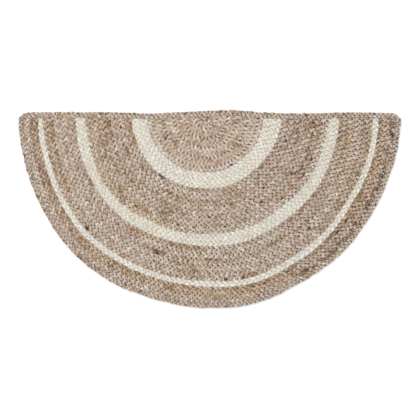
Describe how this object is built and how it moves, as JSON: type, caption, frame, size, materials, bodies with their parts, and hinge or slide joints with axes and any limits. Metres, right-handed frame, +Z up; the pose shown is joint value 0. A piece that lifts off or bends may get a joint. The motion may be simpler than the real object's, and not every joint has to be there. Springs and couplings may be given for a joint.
{
  "type": "half-round doormat",
  "caption": "Flat half-round doormat of braided jute: half-rings of braid in natural and cream bands, with an edge braid sewn round the outside.",
  "frame": {"origin": "middle of the mat's bounding box, on the floor under it", "axes": "+X along the straight edge, +Y from the curved edge towards the straight edge, +Z up through the mat"},
  "size_m": [0.8374, 0.4346, 0.009],
  "materials": {
    "natural_jute": "matte",
    "cream_jute": "matte"
  },
  "bodies": {
    "root": {"centre_coil": "natural_jute", "wide_cream_band": "cream_jute", "inner_natural_band": "natural_jute", "middle_cream_band": "cream_jute", "outer_natural_band": "natural_jute", "narrow_cream_band": "cream_jute", "rim_natural_band": "natural_jute", "edge_braid": "natural_jute"}
  },
  "joints": []
}
